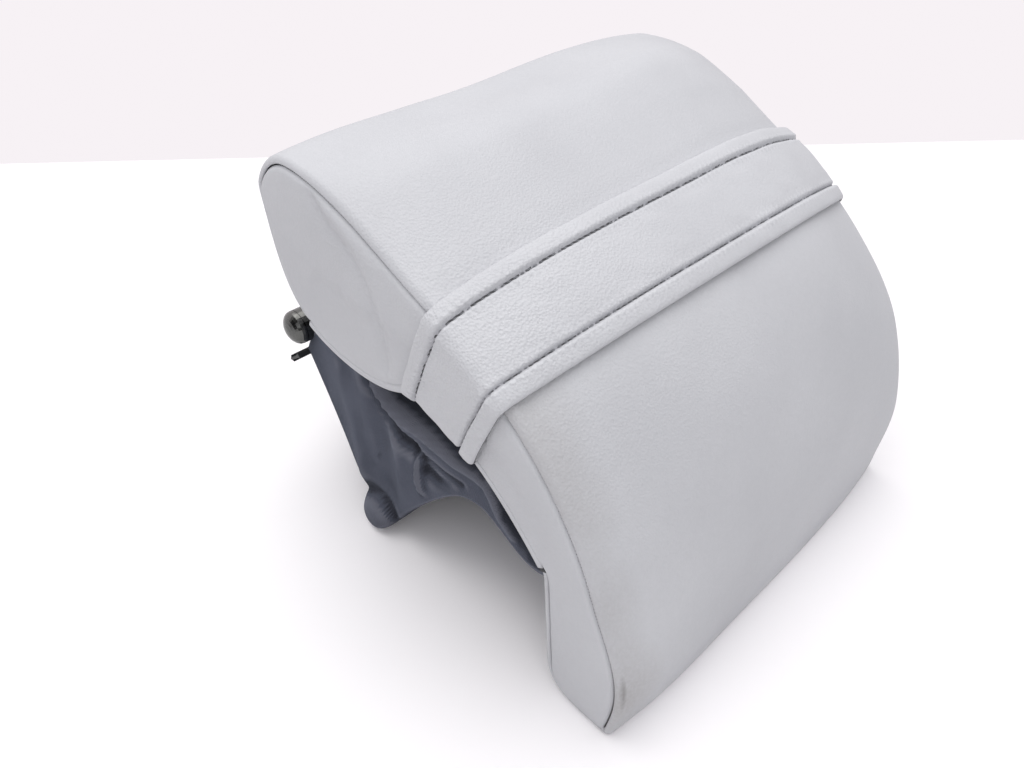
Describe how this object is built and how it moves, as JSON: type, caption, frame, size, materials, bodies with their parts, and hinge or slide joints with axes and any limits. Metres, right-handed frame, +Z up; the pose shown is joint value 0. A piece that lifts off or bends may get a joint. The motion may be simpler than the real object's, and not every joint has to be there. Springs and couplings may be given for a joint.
{
  "type": "car headrest",
  "caption": "Leather-covered curved headrest pad with a cross strap, tilting on a cross rod over a fabric-skirted steel base frame.",
  "frame": {"origin": "on the table, under the middle of the headrest's box", "axes": "+X across the headrest to the sitter's right, +Y to the back of the headrest, +Z up as it stands on its lip and lower tube"},
  "size_m": [0.2506, 0.2544, 0.2126],
  "materials": {
    "leather": "fine-grained pale grey leather, soft satin",
    "steel": "zinc-plated pressed steel",
    "fabric": "matt slate blue-grey brushed cloth",
    "chrome": "polished chrome",
    "plastic": "moulded black plastic, fine texture",
    "rubber": "matt black rubber",
    "foam": "moulded open-cell foam"
  },
  "bodies": {
    "base": {"lower_cross_tube": "steel", "cheek_plate_left": "steel", "cheek_plate_right": "steel", "mounting_bracket": "steel", "bracket_rivet_1": "steel", "bracket_rivet_2": "steel", "bracket_rivet_3": "steel", "bracket_rivet_4": "steel", "retaining_ring_left": "steel", "retaining_ring_right": "steel", "wrap_spring_left": "steel", "wrap_spring_right": "steel", "skirt_bottom_panel": "fabric", "skirt_side_left": "fabric", "skirt_side_right": "fabric", "skirt_rear_left": "fabric", "skirt_rear_right": "fabric", "pivot_rod": "chrome", "rod_cap_left": "chrome", "rod_cap_right": "chrome", "hem_profile": "plastic", "stop_buffer_left": "rubber", "stop_buffer_right": "rubber"},
    "pad": {"leather_front_panel": "leather", "leather_top_panel": "leather", "leather_inner_panel": "leather", "leather_gusset_left": "leather", "leather_gusset_right": "leather", "leather_strap": "leather", "foam_core": "foam", "pad_carrier": "plastic", "hinge_bush_left": "plastic", "hinge_bush_right": "plastic"}
  },
  "joints": [
    {"name": "pad_tilt", "type": "hinge", "parent": "base", "child": "pad", "pos_m": [0, 0.11277, 0.0985], "axis": [-1, 0, 0], "range_deg": [0, 25]}
  ]
}
